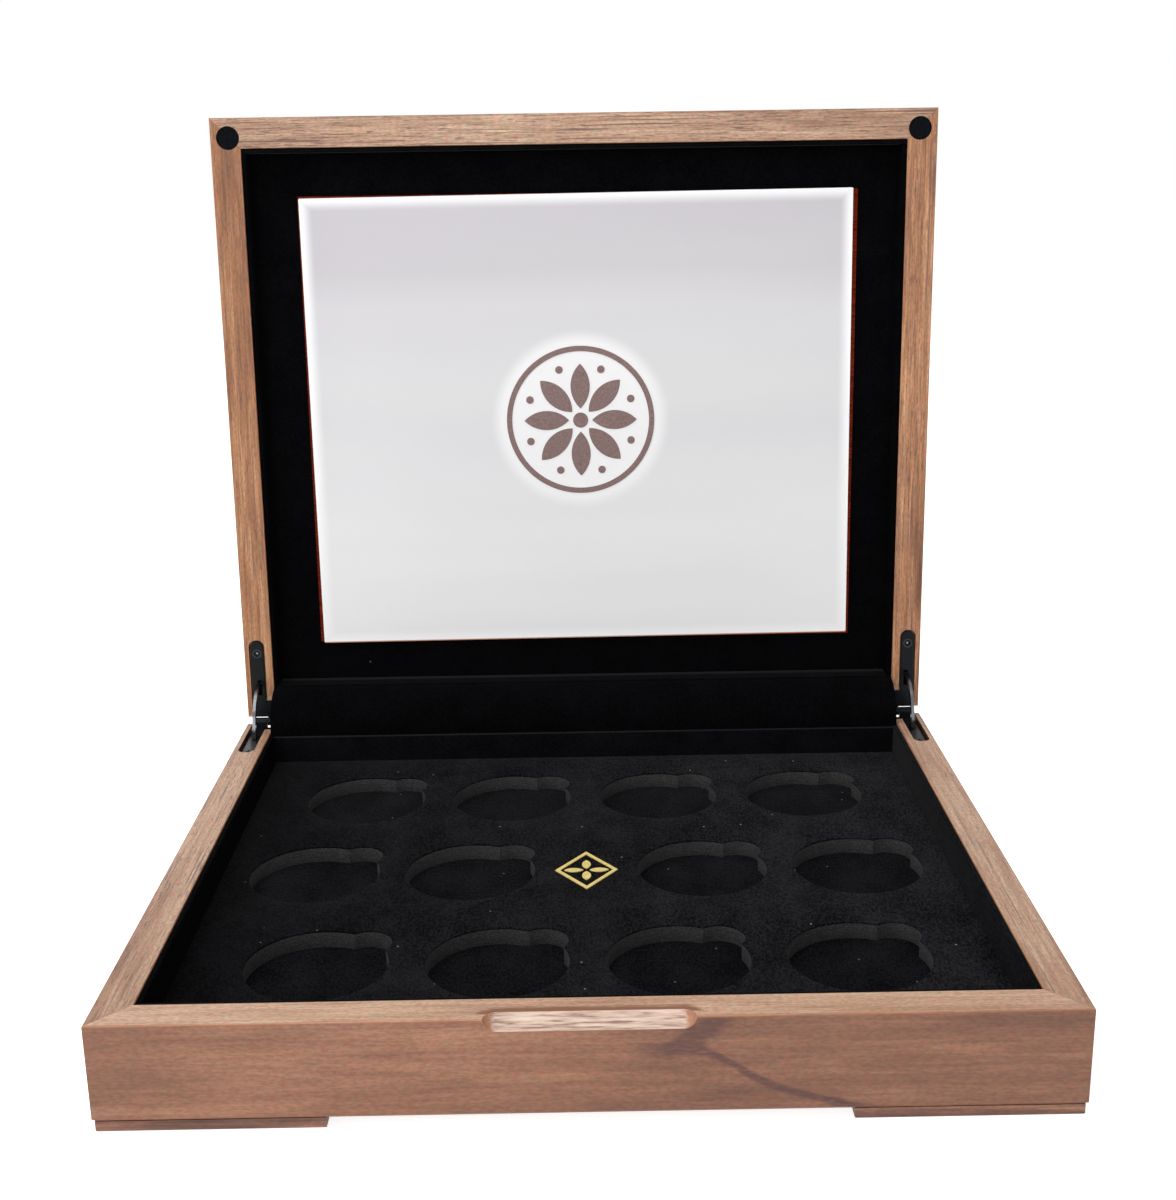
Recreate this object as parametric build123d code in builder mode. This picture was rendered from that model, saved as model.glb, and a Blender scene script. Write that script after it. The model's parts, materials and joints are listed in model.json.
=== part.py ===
from build123d import *
import os
from math import asin, cos, degrees, radians, sin, tan

# Coin display box: a shallow walnut case with a hinged lid, held open by two quadrant stays.
# Millimetres. X runs to the right, Y to the rear, Z up. The origin is the middle of the case's
# footprint, on the surface that the feet stand on. The lid is made in its open place.

# Case
case_width = 310.0
case_depth = 266.0
rail_thickness = 12.7
base_rail_height = 33.6
lid_rail_height = 22.0
rim_gap = 0.3
rim_round = 0.4
top_edge_round = 1.4
bottom_edge_chamfer = 1.1
opening_angle = 92.3

# Feet, one at each corner
foot_thickness = 3.8
foot_length = 72.0
foot_width = 12.0
foot_inset = 0.7
foot_edge_chamfer = 0.5

# Bottom board in a groove, top board in a rebate
bottom_board_thickness = 4.0
bottom_board_inset = 3.0
groove_depth = 5.0
top_board_thickness = 4.0
rebate_width = 5.0
board_side_clearance = 0.15

# Finger scoop in the front rail's upper edge
scoop_radius = 4.2
scoop_length = 57.3

# Velvet-covered linings
lining_thickness = 2.0
base_lining_drop = 0.5
rear_lining_drop = 1.4
lid_lining_drop = 0.6
lining_edge_round = 0.5
fit_clearance = 0.2

# Tray with its coin pockets
tray_drop = 13.2
pocket_depth = 6.6
pocket_diameter = 49.6
velvet_thickness = 0.8
floor_board_thickness = 2.0
thumb_notch_radius = 9.0
thumb_notch_reach = 21.7
thumb_notch_angle = 45.0
row_pitch = 72.2
outer_row_pitch = 62.2
middle_row_pitch = 60.0
middle_row_gap = 89.2

# Gold ornament on the tray: an upright lozenge with a four-petal flower in it
ornament_width = 24.2
ornament_height = 33.0
ornament_offset_y = -1.3
ornament_line = 1.5
ornament_thickness = 0.3
ornament_petal_length = 7.4
ornament_petal_width = 3.4
ornament_petal_start = 1.2

# Lid ceiling and its plaque
ceiling_depth = 12.5
plaque_offset_x = 0.8
plaque_backing_offset_x = 1.1
plaque_backing_width = 244.2
plaque_backing_height = 200.3
plaque_backing_thickness = 2.2
plaque_width = 241.5
plaque_height = 199.9
plaque_thickness = 0.9
plaque_turn = 0.3
plaque_corner_round = 0.6

# Brown emblem on the plaque: a ring round an eight-petal rosette
emblem_diameter = 66.2
emblem_ring_width = 2.4
emblem_offset_y = -1.0
emblem_thickness = 0.2
emblem_petals = 8
emblem_petal_start = 5.2
emblem_petal_length = 20.0
emblem_petal_width = 8.6
emblem_centre_radius = 3.4
emblem_bead_radius = 1.7
emblem_bead_reach = 24.4

# Closing magnets at the front corners
magnet_diameter = 9.6
magnet_thickness = 3.0
magnet_side_inset = 7.5
magnet_front_inset = 8.3
magnet_cover = 0.8
magnet_clearance = 0.1

# Quadrant hinges: an L-shaped leaf in each rim, a barrel behind the case
hinge_set_back = 2.2
hinge_edge_inset = 3.0
leaf_thickness = 1.6
base_leaf_drop = 2.0
long_leg_length = 35.8
long_leg_width = 5.5
long_leg_end_round = 2.6
short_leg_length = 30.0
short_leg_width = 7.2
mortise_clearance = 0.8
knuckle_count = 5
knuckle_side_gap = 0.2
knuckle_face_clearance = 0.3
pin_radius = 0.9
pin_clearance = 0.05
pin_end_clearance = 0.1

# Stays: flat steel arcs round the hinge axis that run in slots in the leaves
stay_side_inset = 6.2
stay_radius = 18.0
stay_width = 2.4
stay_thickness = 1.3
stop_radius = 1.4
stop_length = 3.0
stop_clearance = 0.25
slot_side_clearance = 0.3
slot_front_clearance = 0.5
slot_length = 7.2
stay_well_clearance = 0.7

# Countersunk hinge screws with a cross recess
screw_head_radius = 2.4
screw_shank_radius = 1.3
screw_length = 11.0
screw_countersink = 82.0
screw_recess_width = 0.7
screw_recess_length = 2.6
screw_recess_depth = 0.9
screw_clearance = 0.05
long_leg_screw_from_end = 5.6
short_leg_screw_from_end = 6.0

# Velvet cover over the rear rims, from the base's rear lining up to the lid's
cover_thickness = 0.8
cover_seat_gap = 0.1
cover_side_clearance = 0.4

# Heights and places that follow
DOWN = -1
UP = 1
SIDES = {"left": -1, "right": 1}
RAIL_SIDES = {"front": (0, -1), "rear": (0, 1), "left": (-1, 0), "right": (1, 0)}
rim_height = foot_thickness + base_rail_height
half_width = case_width / 2
half_depth = case_depth / 2
hinge_y = half_depth + hinge_set_back
hinge_z = rim_height + rim_gap / 2
inside_width = case_width - 2 * rail_thickness
inside_depth = case_depth - 2 * rail_thickness
lined_width = inside_width - 2 * lining_thickness
lined_depth = inside_depth - 2 * lining_thickness
bottom_board_top = foot_thickness + bottom_board_inset + bottom_board_thickness
tray_top = rim_height - tray_drop
pocket_floor = tray_top - pocket_depth
floor_board_top = pocket_floor - velvet_thickness
floor_board_bottom = floor_board_top - floor_board_thickness
plaque_back_depth = ceiling_depth - plaque_backing_thickness
plaque_face_depth = plaque_back_depth - plaque_thickness
hinge_outer_x = half_width - hinge_edge_inset
long_leg_x = hinge_outer_x - long_leg_width / 2
stay_x = half_width - stay_side_inset

# Where the stay's end stops bear under the two leaves, as angles round the hinge axis
base_stop_depth = base_leaf_drop + leaf_thickness + stop_clearance + stop_radius + rim_gap / 2
lid_stop_depth = leaf_thickness + stop_clearance + stop_radius + rim_gap / 2
base_stop_angle = degrees(asin(base_stop_depth / stay_radius))
lid_stop_angle = degrees(asin(lid_stop_depth / stay_radius))

# The rims' planes. In each, x and y run as in the closed case, and z points up when it is closed.
base_frame = Plane((0, 0, rim_height))
open_hinge = Plane((0, hinge_y, hinge_z)).rotated((-opening_angle, 0, 0))
lid_rim_centre = open_hinge.from_local_coords((0, -hinge_y, rim_gap / 2))
lid_frame = Plane(lid_rim_centre, x_dir=(1, 0, 0), z_dir=open_hinge.z_dir)


def heading(frame, x, y, z):
    """A direction given in the frame's own axes."""
    return frame.x_dir * x + frame.y_dir * y + frame.z_dir * z


def arc_plane(x):
    """A plane across the hinge axis: its x points forward, its y up, its centre is the axis."""
    return Plane((x, hinge_y, hinge_z), x_dir=(0, -1, 0), z_dir=(-1, 0, 0))


def rail_plane(frame, side):
    """Across a rail at its outer face: x runs inwards, y up from the rim, z along the rail."""
    across, along = RAIL_SIDES[side]
    origin = frame.from_local_coords((across * half_width, along * half_depth, 0))
    inward = heading(frame, -across, -along, 0)
    return Plane(origin, x_dir=inward, z_dir=inward.cross(frame.z_dir))


def save(part, name):
    part.label = name
    export_step(part, f"parts/{name}.step")


os.makedirs("parts", exist_ok=True)


# Rail profiles
def base_rail_profile():
    with Locations((rail_thickness / 2, -base_rail_height / 2)):
        Rectangle(rail_thickness, base_rail_height)
    fillet(vertices().group_by(Axis.Y)[-1], rim_round)
    chamfer(vertices().group_by(Axis.Y)[0].sort_by(Axis.X)[0], bottom_edge_chamfer)
    groove_middle = -base_rail_height + bottom_board_inset + bottom_board_thickness / 2
    with Locations((rail_thickness - groove_depth / 2, groove_middle)):
        Rectangle(groove_depth, bottom_board_thickness, mode=Mode.SUBTRACT)


def lid_rail_profile():
    with Locations((rail_thickness / 2, lid_rail_height / 2)):
        Rectangle(rail_thickness, lid_rail_height)
    fillet(vertices().group_by(Axis.Y)[0], rim_round)
    fillet(vertices().group_by(Axis.Y)[-1].sort_by(Axis.X)[0], top_edge_round)
    with Locations((rail_thickness - rebate_width / 2, lid_rail_height - top_board_thickness / 2)):
        Rectangle(rebate_width, top_board_thickness, mode=Mode.SUBTRACT)


def mitred_rail(frame, side, profile):
    """Run a profile along one side of the case and mitre both its ends at 45 degrees."""
    plane = rail_plane(frame, side)
    half_length = half_width if side in ("front", "rear") else half_depth
    with BuildSketch(plane) as section:
        profile()
    extrude(section.sketch, amount=half_length, both=True)
    for end in (-1, 1):
        corner = plane.from_local_coords((0, 0, end * half_length))
        split(bisect_by=Plane(corner, x_dir=plane.y_dir, z_dir=heading(plane, 1, 0, end)), keep=Keep.BOTTOM)


# Hinge outlines, drawn in a rim's frame for the leaves and for their mortises alike
def leaf_outline(side, clearance):
    """The L: a long leg along the side rail, a short leg along the rear rail."""
    leg_reach = long_leg_length + clearance
    with Locations((side * long_leg_x, half_depth - leg_reach / 2)):
        Rectangle(long_leg_width + 2 * clearance, leg_reach)
    fillet(vertices().group_by(Axis.Y)[0], long_leg_end_round + clearance)
    short_reach = short_leg_width + clearance
    with Locations((side * (hinge_outer_x - short_leg_length / 2), half_depth - short_reach / 2)):
        Rectangle(short_leg_length + 2 * clearance, short_reach)


def stay_well_outline(side):
    """The pocket that a stay's end sinks into when the lid is closed."""
    deepest = radians(base_stop_angle + opening_angle / 2)
    front = stay_radius + stop_radius + stay_well_clearance
    rear = stay_radius * cos(deepest) - stop_radius - stay_well_clearance
    with Locations((side * stay_x, hinge_y - (front + rear) / 2)):
        Rectangle(stop_length + 2 * stay_well_clearance, front - rear)


def screw_places(side):
    """The screw near the end of each leaf's long leg and the one near the end of its short leg."""
    long_leg_end = half_depth - long_leg_length
    short_leg_end = hinge_outer_x - short_leg_length
    return {
        "side": (side * long_leg_x, long_leg_end + long_leg_screw_from_end),
        "rear": (side * (short_leg_end + short_leg_screw_from_end), half_depth - short_leg_width / 2),
    }


def cut_hinge(frame, up, drop, stop_angle, side):
    """Cut a leaf's mortise, the stay's well and the screws' pilot holes into a rail."""
    with BuildSketch(frame) as mortise:
        leaf_outline(side, mortise_clearance)
    extrude(mortise.sketch, amount=up * (drop + leaf_thickness), mode=Mode.SUBTRACT)
    with BuildSketch(frame) as well:
        stay_well_outline(side)
    deepest = radians(stop_angle + opening_angle / 2)
    well_depth = stay_radius * sin(deepest) + stop_radius + stay_well_clearance
    extrude(well.sketch, amount=up * well_depth, mode=Mode.SUBTRACT)
    with BuildSketch(frame) as pilots:
        with Locations(*screw_places(side).values()):
            Circle(screw_shank_radius + screw_clearance)
    extrude(pilots.sketch, amount=up * (drop + screw_length + screw_clearance), mode=Mode.SUBTRACT)


def magnet_place(side):
    return (side * (half_width - magnet_side_inset), magnet_front_inset - half_depth)


def cut_magnet_well(frame, up, cover, side):
    """Cut a closing magnet's hole, which crosses the mitre of a front corner."""
    with BuildSketch(frame.offset(up * cover)) as well:
        with Locations(magnet_place(side)):
            Circle(magnet_diameter / 2 + magnet_clearance)
    extrude(well.sketch, amount=up * magnet_thickness, mode=Mode.SUBTRACT)


def cut_scoop():
    """A finger scoop with ball-nosed ends along the front rail's outer rim edge."""
    end = scoop_length / 2
    with Locations((0, -half_depth, rim_height)):
        Cylinder(scoop_radius, scoop_length, rotation=(0, 90, 0), mode=Mode.SUBTRACT)
    with Locations((-end, -half_depth, rim_height), (end, -half_depth, rim_height)):
        Sphere(scoop_radius, mode=Mode.SUBTRACT)


# Rails of the base and the lid
for rail_side, (across, along) in RAIL_SIDES.items():
    corner_sides = (across,) if across else (-1, 1)

    with BuildPart() as base_rail:
        mitred_rail(base_frame, rail_side, base_rail_profile)
        for side in corner_sides:
            if rail_side != "front":
                cut_hinge(base_frame, DOWN, base_leaf_drop, base_stop_angle, side)
            if rail_side != "rear":
                cut_magnet_well(base_frame, DOWN, magnet_cover, side)
        if rail_side == "front":
            cut_scoop()
    save(base_rail.part, f"base_{rail_side}_rail")

    with BuildPart() as lid_rail:
        mitred_rail(lid_frame, rail_side, lid_rail_profile)
        for side in corner_sides:
            if rail_side != "front":
                cut_hinge(lid_frame, UP, 0, lid_stop_angle, side)
            if rail_side != "rear":
                cut_magnet_well(lid_frame, UP, 0, side)
    save(lid_rail.part, f"lid_{rail_side}_rail")

# Bottom board, held in the base rails' groove
board_reach = groove_depth - board_side_clearance
with BuildPart() as base_bottom_board:
    with BuildSketch(Plane.XY.offset(bottom_board_top)):
        Rectangle(inside_width + 2 * board_reach, inside_depth + 2 * board_reach)
    extrude(amount=-bottom_board_thickness)
save(base_bottom_board.part, "base_bottom_board")

# Top board, flush in the lid rails' rebate
panel_reach = rebate_width - board_side_clearance
with BuildPart() as lid_top_board:
    with BuildSketch(lid_frame.offset(lid_rail_height)):
        Rectangle(inside_width + 2 * panel_reach, inside_depth + 2 * panel_reach)
    extrude(amount=-top_board_thickness)
save(lid_top_board.part, "lid_top_board")

# Corner feet, L-shaped strips under the rails
for front_rear, along in {"front": -1, "rear": 1}.items():
    for left_right, across in SIDES.items():
        corner_x = across * (half_width - foot_inset)
        corner_y = along * (half_depth - foot_inset)
        with BuildPart() as foot:
            with BuildSketch():
                with Locations((corner_x - across * foot_length / 2, corner_y - along * foot_width / 2)):
                    Rectangle(foot_length, foot_width)
                with Locations((corner_x - across * foot_width / 2, corner_y - along * foot_length / 2)):
                    Rectangle(foot_width, foot_length)
            extrude(amount=foot_thickness)
            chamfer(foot.faces().sort_by(Axis.Z)[0].outer_wire().edges(), foot_edge_chamfer)
        save(foot.part, f"foot_{front_rear}_{left_right}")


# Velvet-covered linings inside the rails
def lining(frame, side, near, far):
    """A lining board against a rail, from its height near the rim to its far edge."""
    across, along = RAIL_SIDES[side]
    centre_x = across * (inside_width - lining_thickness) / 2
    centre_y = along * (inside_depth - lining_thickness) / 2
    with BuildPart() as board:
        with BuildSketch(frame.offset(near)):
            with Locations((centre_x, centre_y)):
                if along:
                    Rectangle(inside_width, lining_thickness)
                else:
                    Rectangle(lining_thickness, lined_depth)
        extrude(amount=far - near)
        inner_face = board.faces().sort_by(Axis((0, 0, 0), heading(frame, across, along, 0)))[0]
        rim_direction = frame.z_dir if far < near else -frame.z_dir
        fillet(inner_face.edges().sort_by(Axis((0, 0, 0), rim_direction))[-1], lining_edge_round)
    return board.part


for rail_side in RAIL_SIDES:
    base_floor = bottom_board_top - rim_height
    base_drop = rear_lining_drop if rail_side == "rear" else base_lining_drop
    save(lining(base_frame, rail_side, -base_drop, base_floor), f"base_{rail_side}_lining")
    save(lining(lid_frame, rail_side, lid_lining_drop, ceiling_depth), f"lid_{rail_side}_lining")

# Tray: a riser, a velvet-covered floor board, and die-cut foam with velvet laminated on it
tray_width = lined_width - 2 * fit_clearance
tray_depth = lined_depth - 2 * fit_clearance
outer_row = [outer_row_pitch * (column - 1.5) for column in range(4)]
middle_row = [side * (middle_row_gap / 2 + reach) for side in (-1, 1) for reach in (0, middle_row_pitch)]
pocket_places = [(x, row * row_pitch) for row in (-1, 1) for x in outer_row] + [(x, 0) for x in middle_row]
notch_x = thumb_notch_reach * cos(radians(thumb_notch_angle))
notch_y = thumb_notch_reach * sin(radians(thumb_notch_angle))


def cut_pockets():
    """Take the coin pockets out of the sheet that is being drawn, each with its thumb notch."""
    with Locations(*pocket_places):
        Circle(pocket_diameter / 2, mode=Mode.SUBTRACT)
        with Locations((notch_x, notch_y)):
            Circle(thumb_notch_radius, mode=Mode.SUBTRACT)


def tray_sheet(bottom, top, with_pockets):
    with BuildPart() as sheet:
        with BuildSketch(Plane.XY.offset(bottom)):
            Rectangle(tray_width, tray_depth)
            if with_pockets:
                cut_pockets()
        extrude(amount=top - bottom)
    return sheet.part


save(tray_sheet(bottom_board_top, floor_board_bottom, False), "tray_riser")
save(tray_sheet(floor_board_bottom, floor_board_top, False), "tray_floor_board")
save(tray_sheet(floor_board_top, pocket_floor, False), "tray_floor_velvet")
save(tray_sheet(tray_top - velvet_thickness, tray_top, True), "tray_velvet")

# Foam blocks, butted between the rows of pockets and along the tray's middle
foam_rows = {
    "front": (-tray_depth / 2, -row_pitch / 2),
    "middle": (-row_pitch / 2, row_pitch / 2),
    "rear": (row_pitch / 2, tray_depth / 2),
}
for row, (near, far) in foam_rows.items():
    for left_right, across in SIDES.items():
        with BuildPart() as tray_foam:
            with BuildSketch(Plane.XY.offset(pocket_floor)):
                with Locations((across * tray_width / 4, (near + far) / 2)):
                    Rectangle(tray_width / 2, far - near)
                cut_pockets()
            extrude(amount=tray_top - velvet_thickness - pocket_floor)
        save(tray_foam.part, f"tray_foam_{row}_{left_right}")


def petal(start, length, width):
    """A leaf shape pointed at both ends, along X from its start."""
    with BuildSketch() as leaf:
        with BuildLine():
            ThreePointArc((start, 0), (start + length / 2, width / 2), (start + length, 0))
            ThreePointArc((start + length, 0), (start + length / 2, -width / 2), (start, 0))
        make_face()
    return leaf.sketch


# Gold ornament, a foil print on the tray's velvet
ornament_petal = petal(ornament_petal_start, ornament_petal_length, ornament_petal_width)
lozenge_corners = (
    (0, ornament_height / 2),
    (ornament_width / 2, 0),
    (0, -ornament_height / 2),
    (-ornament_width / 2, 0),
)
with BuildPart() as tray_ornament:
    with BuildSketch(Plane((0, ornament_offset_y, tray_top))):
        Polygon(*lozenge_corners)
        offset(amount=-ornament_line, kind=Kind.INTERSECTION, mode=Mode.SUBTRACT)
        with PolarLocations(0, 4):
            add(ornament_petal)
    extrude(amount=ornament_thickness)
save(tray_ornament.part, "tray_ornament")


# Lid ceiling: a velvet-covered board under the top board
def ceiling_sheet(near, far):
    with BuildPart() as sheet:
        with BuildSketch(lid_frame.offset(near)):
            Rectangle(inside_width - 2 * fit_clearance, inside_depth - 2 * fit_clearance)
        extrude(amount=far - near)
    return sheet.part


ceiling_board_depth = ceiling_depth + velvet_thickness
save(ceiling_sheet(ceiling_depth, ceiling_board_depth), "lid_ceiling_velvet")
save(ceiling_sheet(ceiling_board_depth, lid_rail_height - top_board_thickness), "lid_ceiling_board")

# Plaque: a brown backing and a pale plate stuck on it a little askew
with BuildPart() as plaque_backing:
    with BuildSketch(lid_frame.offset(plaque_back_depth)):
        with Locations((plaque_backing_offset_x, 0)):
            RectangleRounded(plaque_backing_width, plaque_backing_height, plaque_corner_round)
    extrude(amount=plaque_backing_thickness)
save(plaque_backing.part, "plaque_backing")

with BuildPart() as plaque_plate:
    with BuildSketch(lid_frame.offset(plaque_face_depth)):
        with Locations((plaque_offset_x, 0)):
            RectangleRounded(plaque_width, plaque_height, plaque_corner_round, rotation=-plaque_turn)
    extrude(amount=plaque_thickness)
save(plaque_plate.part, "plaque_plate")

# Emblem printed on the plate
emblem_petal = petal(emblem_petal_start, emblem_petal_length, emblem_petal_width)
emblem_step = 360 / emblem_petals
with BuildPart() as plaque_emblem:
    with BuildSketch(lid_frame.offset(plaque_face_depth)):
        with Locations((plaque_offset_x, emblem_offset_y)):
            Circle(emblem_diameter / 2)
            Circle(emblem_diameter / 2 - emblem_ring_width, mode=Mode.SUBTRACT)
            Circle(emblem_centre_radius)
            with PolarLocations(0, emblem_petals):
                add(emblem_petal)
            with PolarLocations(emblem_bead_reach, emblem_petals, start_angle=emblem_step / 2):
                Circle(emblem_bead_radius)
    extrude(amount=-emblem_thickness)
save(plaque_emblem.part, "plaque_emblem")


# Closing magnets: the lid's are flush in its rim, the base's lie under a skin of the rim
def magnet(frame, up, cover, side):
    with BuildPart() as disc:
        with BuildSketch(frame.offset(up * cover)):
            with Locations(magnet_place(side)):
                Circle(magnet_diameter / 2)
        extrude(amount=up * magnet_thickness)
    return disc.part


# Hinges
def hinge_leaf(frame, up, drop, side, knuckles):
    """A leaf with its slot, its countersunk holes, and its knuckles on tabs that are bent up behind."""
    slot_front = stay_radius + stay_width / 2 + slot_front_clearance
    knuckle_radius = hinge_set_back - knuckle_face_clearance
    knuckle_pitch = short_leg_length / knuckle_count
    knuckle_length = knuckle_pitch - knuckle_side_gap
    tab_reach = hinge_set_back + short_leg_width / 2
    tab_z = up * (drop + leaf_thickness / 2)
    axis_z = -up * rim_gap / 2
    neck_height = drop + leaf_thickness + rim_gap / 2
    neck_z = up * (drop + leaf_thickness - neck_height / 2)
    barrel_middle = side * (hinge_outer_x - short_leg_length / 2)
    screw_turn = (180, 0, 0) if up == UP else (0, 0, 0)
    with BuildPart() as leaf:
        with BuildSketch(frame.offset(up * drop)):
            leaf_outline(side, 0)
            with Locations((side * stay_x, hinge_y - slot_front + slot_length / 2)):
                Rectangle(stay_thickness + 2 * slot_side_clearance, slot_length, mode=Mode.SUBTRACT)
        extrude(amount=up * leaf_thickness)
        for index in knuckles:
            x = side * (hinge_outer_x - (index + 0.5) * knuckle_pitch)
            with Locations(frame.location * Location((x, hinge_y - tab_reach / 2, tab_z))):
                Box(knuckle_length, tab_reach, leaf_thickness)
            with Locations(frame.location * Location((x, hinge_y - knuckle_radius / 2, neck_z))):
                Box(knuckle_length, knuckle_radius, neck_height)
            with Locations(frame.location * Location((x, hinge_y, axis_z), (0, 90, 0))):
                Cylinder(knuckle_radius, knuckle_length)
        with Locations(frame.location * Location((barrel_middle, hinge_y, axis_z), (0, 90, 0))):
            Cylinder(pin_radius + pin_clearance, short_leg_length, mode=Mode.SUBTRACT)
        for x, y in screw_places(side).values():
            with Locations(frame.location * Location((x, y, up * drop), screw_turn)):
                CounterSinkHole(
                    screw_shank_radius + screw_clearance,
                    screw_head_radius + screw_clearance,
                    leaf_thickness,
                    screw_countersink,
                )
    return leaf.part


def hinge_screw(frame, up, drop, place):
    """A screw driven into a rim, its head flush with the leaf."""
    head_depth = (screw_head_radius - screw_shank_radius) / tan(radians(screw_countersink / 2))
    tip_depth = screw_length - screw_shank_radius
    x, y = place
    head = Plane(
        frame.from_local_coords((x, y, up * drop)), x_dir=frame.x_dir, z_dir=frame.z_dir * -up
    )
    with BuildPart() as screw:
        with BuildSketch(Plane(head.origin, x_dir=head.x_dir, z_dir=-head.y_dir)):
            with BuildLine():
                Polyline(
                    (0, 0),
                    (screw_head_radius, 0),
                    (screw_shank_radius, -head_depth),
                    (screw_shank_radius, -tip_depth),
                    (0, -screw_length),
                    close=True,
                )
            make_face()
        revolve(axis=Axis(head.origin, head.z_dir))
        with BuildSketch(head):
            Rectangle(screw_recess_length, screw_recess_width)
            Rectangle(screw_recess_width, screw_recess_length)
        extrude(amount=-screw_recess_depth, mode=Mode.SUBTRACT)
    return screw.part


stay_line = CenterArc(
    (0, 0), stay_radius, -base_stop_angle, base_stop_angle + opening_angle + lid_stop_angle
)
pin_length = short_leg_length - 2 * pin_end_clearance
for name, side in SIDES.items():
    save(magnet(base_frame, DOWN, magnet_cover, side), f"base_magnet_{name}")
    save(magnet(lid_frame, UP, 0, side), f"lid_magnet_{name}")

    base_knuckles = range(0, knuckle_count, 2)
    lid_knuckles = range(1, knuckle_count, 2)
    save(hinge_leaf(base_frame, DOWN, base_leaf_drop, side, base_knuckles), f"base_hinge_leaf_{name}")
    save(hinge_leaf(lid_frame, UP, 0, side, lid_knuckles), f"lid_hinge_leaf_{name}")
    for leg, place in screw_places(side).items():
        save(hinge_screw(base_frame, DOWN, base_leaf_drop, place), f"base_hinge_screw_{name}_{leg}")
        save(hinge_screw(lid_frame, UP, 0, place), f"lid_hinge_screw_{name}_{leg}")

    with BuildPart() as hinge_pin:
        with BuildSketch(arc_plane(side * (hinge_outer_x - short_leg_length / 2))):
            Circle(pin_radius)
        extrude(amount=pin_length / 2, both=True)
    save(hinge_pin.part, f"hinge_pin_{name}")

    with BuildPart() as stay:
        with BuildSketch(arc_plane(side * stay_x)):
            SlotArc(stay_line, stay_width)
        extrude(amount=stay_thickness / 2, both=True)
        with BuildSketch(arc_plane(side * stay_x)):
            with Locations(stay_line @ 0, stay_line @ 1):
                Circle(stop_radius)
        extrude(amount=stop_length / 2, both=True)
    save(stay.part, f"stay_{name}")

# Velvet hinge cover
cover_radius = hinge_set_back + rail_thickness + lining_thickness / 2
cover_seat = rim_gap / 2 - cover_seat_gap - cover_thickness / 2
cover_base_angle = degrees(asin((rear_lining_drop + cover_seat) / cover_radius))
cover_lid_angle = degrees(asin((lid_lining_drop + cover_seat) / cover_radius))
cover_line = CenterArc(
    (0, 0), cover_radius, -cover_base_angle, cover_base_angle + opening_angle + cover_lid_angle
)
with BuildPart() as hinge_cover:
    with BuildSketch(arc_plane(0)):
        SlotArc(cover_line, cover_thickness)
    extrude(amount=inside_width / 2 - cover_side_clearance, both=True)
save(hinge_cover.part, "hinge_cover")
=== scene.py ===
import json
import math

import bpy
from mathutils import Matrix, Vector


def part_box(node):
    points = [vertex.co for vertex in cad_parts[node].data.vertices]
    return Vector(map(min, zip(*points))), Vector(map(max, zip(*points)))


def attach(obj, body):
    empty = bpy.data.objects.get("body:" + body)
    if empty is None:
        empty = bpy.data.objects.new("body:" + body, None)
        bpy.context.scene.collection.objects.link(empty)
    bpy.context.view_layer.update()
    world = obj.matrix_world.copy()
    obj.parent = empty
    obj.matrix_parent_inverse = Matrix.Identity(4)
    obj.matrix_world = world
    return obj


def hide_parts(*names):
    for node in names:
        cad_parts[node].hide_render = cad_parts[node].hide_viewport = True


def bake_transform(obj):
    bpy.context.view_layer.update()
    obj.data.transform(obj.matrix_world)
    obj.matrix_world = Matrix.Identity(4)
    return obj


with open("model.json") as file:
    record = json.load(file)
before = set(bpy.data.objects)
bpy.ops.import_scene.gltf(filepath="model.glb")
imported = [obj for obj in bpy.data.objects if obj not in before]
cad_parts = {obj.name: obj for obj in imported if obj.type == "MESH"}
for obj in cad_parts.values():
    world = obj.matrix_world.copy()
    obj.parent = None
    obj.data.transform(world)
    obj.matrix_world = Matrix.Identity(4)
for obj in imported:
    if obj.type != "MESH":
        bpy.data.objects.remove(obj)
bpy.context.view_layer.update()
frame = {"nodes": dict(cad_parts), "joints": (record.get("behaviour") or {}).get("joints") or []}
nodes = frame["nodes"]

# Base rails. Four walnut bars stand round the base, mitred and glued at the corners, sanded and
# given a thin satin oil. The grain runs along each bar. Freshly sanded rims are paler than the
# faces. The front bar has the finger scoop, the side and rear bars have the hinges' mortises.
rail_low, rail_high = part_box("base_front_rail")
CASE_HALF_WIDTH = rail_high.x
CASE_HALF_DEPTH = -rail_low.y
RAIL_THICKNESS = rail_high.y - rail_low.y
RAIL_HEIGHT = rail_high.z - rail_low.z
BASE_RIM = {"Location": (0, 0, rail_high.z), "Rotation": (0, 0, 0)}
ALONG_X = (0, 0, 0)
ALONG_Y = (0, 0, -math.pi / 2)


def colour(red, green, blue):
    """A paint colour from 0 to 255, as the shader wants it."""
    parts = [part / 255 for part in (red, green, blue)]
    linear = [p / 12.92 if p <= 0.04045 else ((p + 0.055) / 1.055) ** 2.4 for p in parts]
    return (*linear, 1.0)


def add_node(tree, kind, inputs=None, **settings):
    node = tree.nodes.new(kind)
    for name, value in settings.items():
        setattr(node, name, value)
    for name, value in (inputs or {}).items():
        if isinstance(value, bpy.types.NodeSocket):
            tree.links.new(value, node.inputs[name])
        else:
            node.inputs[name].default_value = value
    return node


def maths(tree, operation, *values):
    """One step of arithmetic on numbers that vary over the surface."""
    return add_node(tree, "ShaderNodeMath", dict(enumerate(values)), operation=operation).outputs[0]


def plus(tree, total, *others):
    for other in others:
        total = maths(tree, "ADD", total, other)
    return total


def minus(tree, first, second):
    return maths(tree, "SUBTRACT", first, second)


def times(tree, product, *others):
    for other in others:
        product = maths(tree, "MULTIPLY", product, other)
    return product


def unsigned(tree, value):
    return maths(tree, "ABSOLUTE", value)


def apart_from(tree, value, middle):
    """How far a number is from a middle, on either side."""
    return unsigned(tree, minus(tree, value, middle))


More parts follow.
